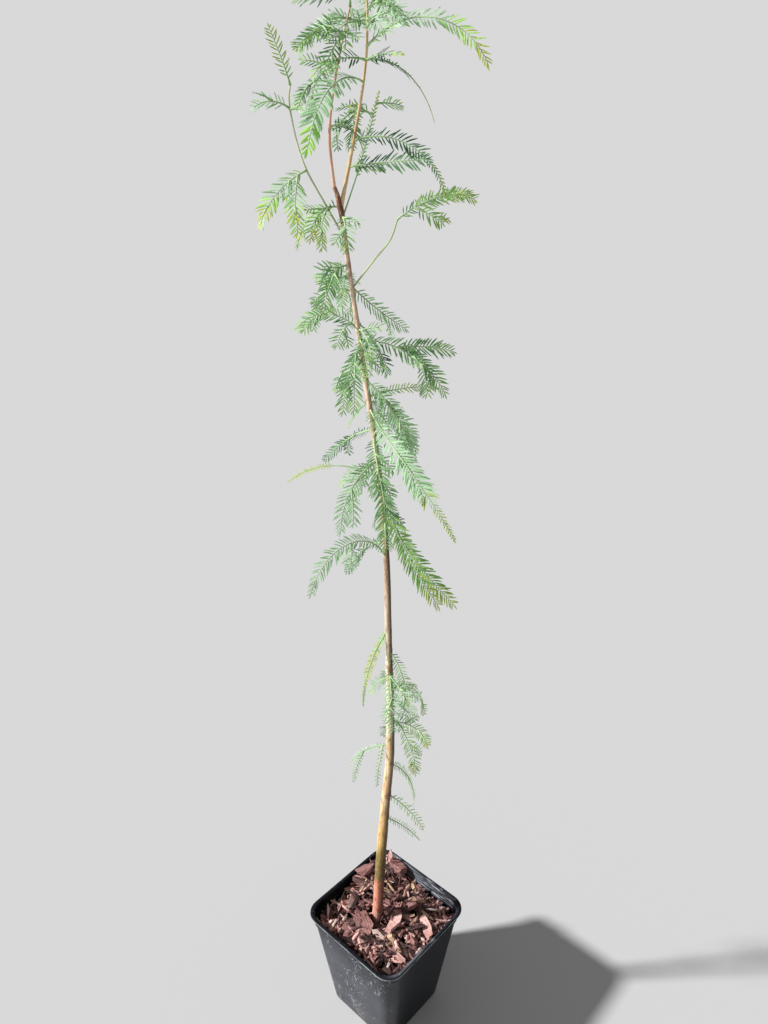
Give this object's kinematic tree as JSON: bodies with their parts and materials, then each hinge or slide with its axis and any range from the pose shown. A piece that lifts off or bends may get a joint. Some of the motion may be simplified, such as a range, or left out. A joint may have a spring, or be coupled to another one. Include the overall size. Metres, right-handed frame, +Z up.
{
  "type": "potted bald cypress sapling",
  "caption": "Slender bald cypress sapling with a forked leader and drooping sprays of feathery needles, growing in bark mulch in a square nursery pot.",
  "frame": {"origin": "centre of the pot's flat underside", "axes": "+Z up along the tree, +Y away from the viewer of the front view, +X to that viewer's right; one corner of the pot points about along -Y"},
  "size_m": [0.1556, 0.1518, 0.9414],
  "materials": {
    "pot_plastic": "dusty black moulded plastic",
    "bark_mulch": "loose reddish-brown bark chips over dark soil",
    "bark": "smooth young bark, olive low down and tan above",
    "young_bark": "smooth tan to green shoot bark",
    "needles": "soft matte green needles"
  },
  "bodies": {
    "root": {"branch_left": "young_bark", "branch_left_spray_1": "needles", "branch_left_spray_2": "needles", "branch_left_spray_3": "needles", "branch_right": "young_bark", "branch_right_spray": "needles", "fork_spray_1": "needles", "fork_spray_2": "needles", "fork_spray_3": "needles", "leader_left": "young_bark", "leader_left_spray_1": "needles", "leader_left_spray_2": "needles", "leader_left_spray_3": "needles", "leader_left_top": "needles", "leader_right": "young_bark", "leader_right_spray_1": "needles", "leader_right_spray_2": "needles", "leader_right_spray_3": "needles", "leader_right_spray_4": "needles", "leader_right_spray_5": "needles", "leader_right_spray_6": "needles", "leader_right_spray_7": "needles", "leader_right_spray_8": "needles", "leader_right_spray_9": "needles", "leader_right_top": "needles", "low_spray_1": "needles", "low_spray_10": "needles", "low_spray_11": "needles", "low_spray_2": "needles", "low_spray_3": "needles", "low_spray_4": "needles", "low_spray_5": "needles", "low_spray_6": "needles", "low_spray_7": "needles", "low_spray_8": "needles", "low_spray_9": "needles", "middle_spray_1": "needles", "middle_spray_10": "needles", "middle_spray_11": "needles", "middle_spray_12": "needles", "middle_spray_13": "needles", "middle_spray_2": "needles", "middle_spray_3": "needles", "middle_spray_4": "needles", "middle_spray_5": "needles", "middle_spray_6": "needles", "middle_spray_7": "needles", "middle_spray_8": "needles", "middle_spray_9": "needles", "mulch": "bark_mulch", "pot": "pot_plastic", "trunk": "bark", "upper_spray_1": "needles", "upper_spray_2": "needles", "upper_spray_3": "needles", "upper_spray_4": "needles", "upper_spray_5": "needles", "upper_spray_6": "needles", "upper_spray_7": "needles"}
  },
  "joints": []
}
